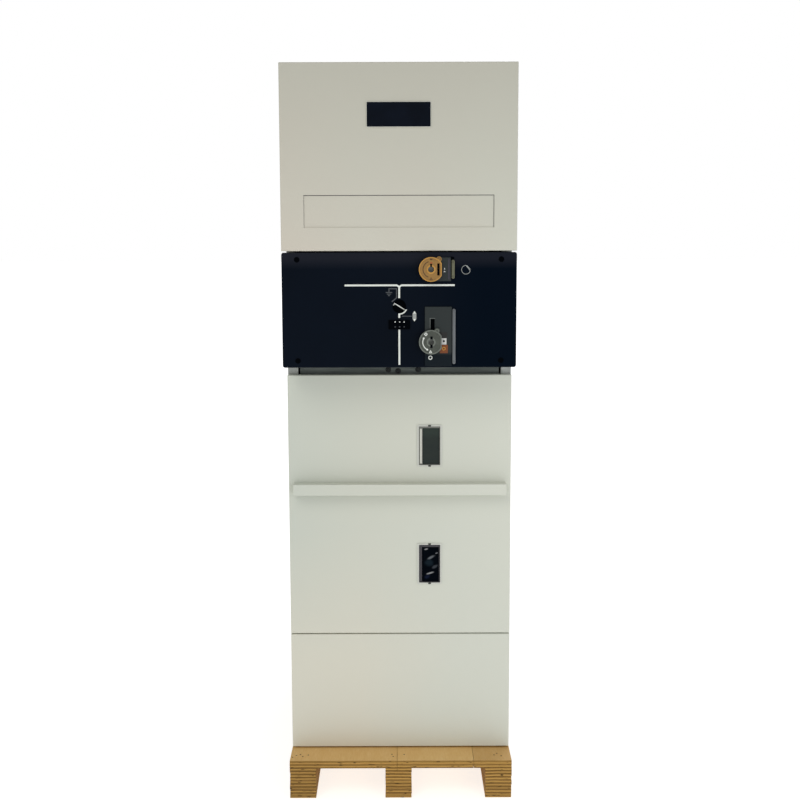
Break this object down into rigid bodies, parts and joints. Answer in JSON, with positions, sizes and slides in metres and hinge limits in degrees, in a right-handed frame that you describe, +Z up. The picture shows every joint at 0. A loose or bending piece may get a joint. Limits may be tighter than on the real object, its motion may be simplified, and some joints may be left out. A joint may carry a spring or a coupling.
{
  "type": "gas insulated switch cubicle on a transport pallet",
  "caption": "Narrow metal-clad gas insulated switch cubicle with a control cabinet on top, dark mimic panel with rotary operators, inspection windows and a plywood pallet.",
  "frame": {"origin": "on the floor, under the middle of the pallet", "axes": "+Z up, +X to the right seen from the front, the front faces -Y"},
  "size_m": [0.502, 1.0255, 1.62],
  "materials": {
    "cream_paint": "semi-gloss powder coat on sheet steel",
    "zinc_steel": "hot-dip zinc coated sheet",
    "navy_cover": "satin dark navy moulding",
    "black_cap": "matt black plastic",
    "amber_dial": "moulded amber plastic",
    "grey_dial": "moulded smoke-grey plastic",
    "operator_plate": "dark grey lacquered steel",
    "slide_bar": "plated steel",
    "window_frame": "moulded pale plastic",
    "window_pane": "smoked polycarbonate",
    "display_glass": "gloss black display window",
    "black_rubber": "moulded rubber cable termination",
    "plywood": "raw laminated plywood"
  },
  "bodies": {
    "cubicle": {"pallet_bearer_left": "plywood", "pallet_bearer_middle": "plywood", "pallet_bearer_right": "plywood", "pallet_deck": "plywood", "floor_tray": "zinc_steel", "side_panel_left": "cream_paint", "side_panel_right": "cream_paint", "rear_panel": "cream_paint", "bottom_front_panel": "cream_paint", "cable_front_panel": "cream_paint", "lift_ledge": "cream_paint", "upper_window_frame": "window_frame", "upper_window_pane": "window_pane", "lower_window_frame": "window_frame", "lower_window_pane": "window_pane", "tank_floor": "zinc_steel", "cable_terminations": "black_rubber", "cross_member": "zinc_steel", "latch_plate": "zinc_steel", "mechanism_cheek_left": "zinc_steel", "mechanism_cheek_right": "zinc_steel", "mechanism_top": "zinc_steel", "mechanism_bottom": "zinc_steel", "shaft_carrier_plate": "zinc_steel", "mimic_cover": "navy_cover", "cover_screw_caps": "black_cap", "earthing_operator_plate": "operator_plate", "earthing_slide_bar": "slide_bar", "switch_operator_plate": "operator_plate", "switch_slide_bar": "slide_bar", "voltage_indicator": "black_cap", "cabinet_front": "cream_paint", "cabinet_side_left": "cream_paint", "cabinet_side_right": "cream_paint", "cabinet_roof": "cream_paint", "cabinet_floor": "cream_paint", "cabinet_rear": "cream_paint", "display_window": "display_glass", "label_strip": "cream_paint", "busbar_side_left": "cream_paint", "busbar_side_right": "cream_paint", "busbar_roof": "cream_paint"},
    "earthing_dial": {"earthing_dial": "amber_dial"},
    "switch_dial": {"switch_dial": "grey_dial"},
    "position_indicator": {"position_indicator": "black_cap"}
  },
  "joints": [
    {"name": "earthing_dial_turn", "type": "hinge", "parent": "cubicle", "child": "earthing_dial", "pos_m": [0.0675, -0.53, 1.191], "axis": [0, -1, 0], "range_deg": [0, 90]},
    {"name": "switch_dial_turn", "type": "hinge", "parent": "cubicle", "child": "switch_dial", "pos_m": [0.0675, -0.53, 1.037], "axis": [0, -1, 0], "range_deg": [0, 90]},
    {"name": "indicator_turn", "type": "hinge", "parent": "cubicle", "child": "position_indicator", "pos_m": [0, -0.512, 1.113], "axis": [0, -1, 0], "range_deg": [-64, 0]}
  ],
  "couplings": [
    {"joint": "indicator_turn", "follows": "switch_dial_turn", "ratio": -0.7111}
  ]
}
